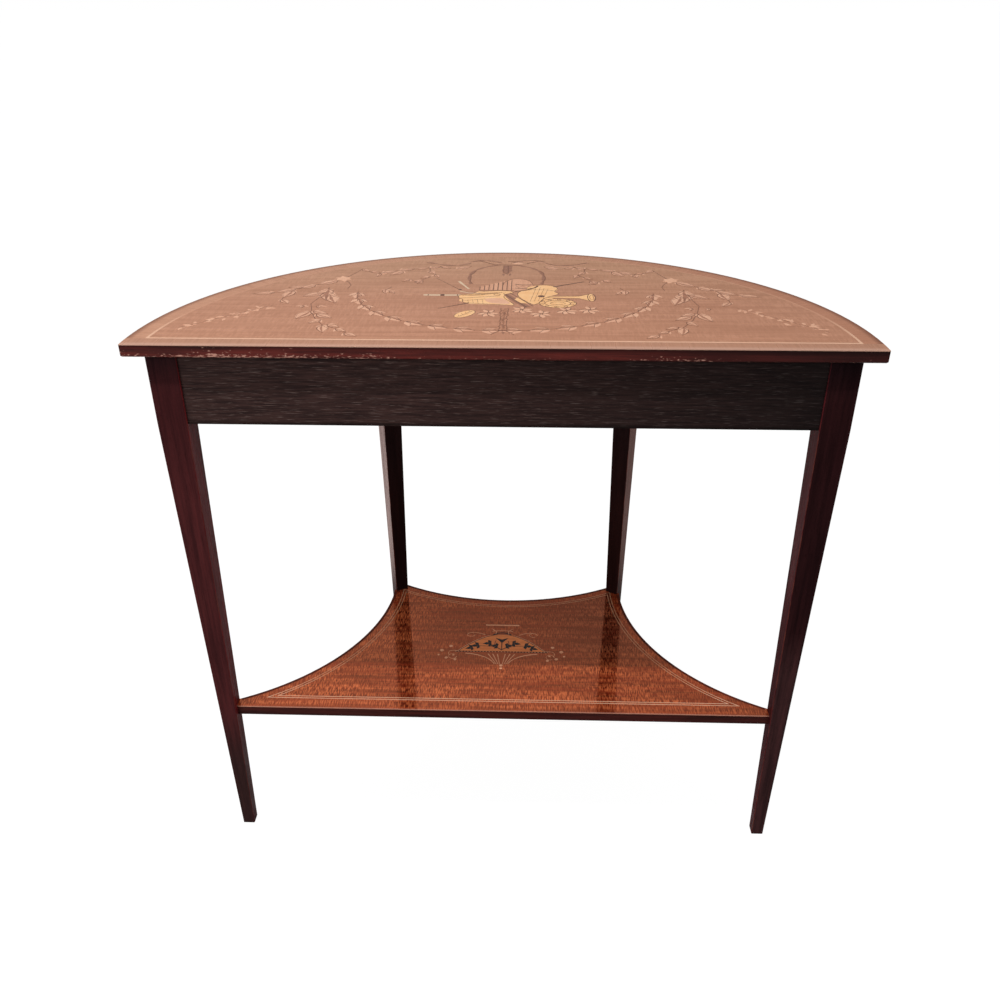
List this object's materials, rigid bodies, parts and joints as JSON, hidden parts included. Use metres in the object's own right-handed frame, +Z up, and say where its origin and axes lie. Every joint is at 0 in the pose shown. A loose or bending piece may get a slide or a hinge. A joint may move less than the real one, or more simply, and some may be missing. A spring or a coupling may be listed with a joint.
{
  "type": "demilune table",
  "caption": "Half-round side table with a straight back, square tapered legs, a marquetry top and a veneered undertier with hollow sides.",
  "frame": {"origin": "on the floor, under the middle of the table's bounding box", "axes": "+Z up, +X along the straight back edge, +Y from the straight back towards the curve"},
  "size_m": [0.84, 0.4199, 0.75],
  "materials": {
    "mahogany": "French polished mahogany",
    "leg_mahogany": "French polished mahogany, dark with age",
    "stained_rail": "stained open-grained rail, thinly polished",
    "frieze_core": "bare secondary timber",
    "frieze_veneer": "French polished mahogany veneer",
    "top_veneer": "French polished fiddleback veneer",
    "top_crossband": "French polished crossbanding",
    "boxwood_line": "polished boxwood",
    "trophy_boxwood": "polished boxwood, shaded with hot sand",
    "trophy_rosewood": "polished tinted sycamore",
    "ribbon_dark": "polished stained sycamore",
    "husk_sycamore": "polished sycamore",
    "leaf_sycamore": "polished sycamore",
    "shelf_veneer": "French polished figured mahogany",
    "shelf_crossband": "French polished crossbanding",
    "urn_satinwood": "polished satinwood",
    "urn_ebonised": "polished ebonised veneer",
    "dowel_beech": "bare beech",
    "screw_steel": "dulled steel"
  },
  "bodies": {
    "root": {"back_left_leg": "leg_mahogany", "back_rail": "stained_rail", "back_right_leg": "leg_mahogany", "frieze_centre": "frieze_core", "frieze_centre_veneer": "frieze_veneer", "frieze_left": "frieze_core", "frieze_left_veneer": "frieze_veneer", "frieze_right": "frieze_core", "frieze_right_veneer": "frieze_veneer", "front_left_leg": "leg_mahogany", "front_right_leg": "leg_mahogany", "shelf_board": "mahogany", "shelf_crossband": "shelf_crossband", "shelf_dowels": "dowel_beech", "shelf_field_veneer": "shelf_veneer", "shelf_line_band": "shelf_veneer", "shelf_stringing": "boxwood_line", "top_board": "mahogany", "top_crossband_back": "top_crossband", "top_crossband_curve": "top_crossband", "top_field_veneer": "top_veneer", "top_garland": "husk_sycamore", "top_left_branch": "leaf_sycamore", "top_left_spray": "leaf_sycamore", "top_ribbon": "ribbon_dark", "top_right_branch": "leaf_sycamore", "top_right_spray": "leaf_sycamore", "top_screws": "screw_steel", "top_stringing": "boxwood_line", "trophy_drum": "trophy_rosewood", "trophy_flowers": "trophy_boxwood", "trophy_flute": "trophy_boxwood", "trophy_horn": "trophy_boxwood", "trophy_lute": "trophy_boxwood", "trophy_lyre": "trophy_boxwood", "trophy_pipes": "trophy_rosewood", "trophy_strap": "ribbon_dark", "trophy_tambourine": "trophy_boxwood", "urn_bowl": "urn_satinwood", "urn_foot": "trophy_boxwood", "urn_leaves": "urn_ebonised", "urn_lid": "urn_satinwood"}
  },
  "joints": []
}
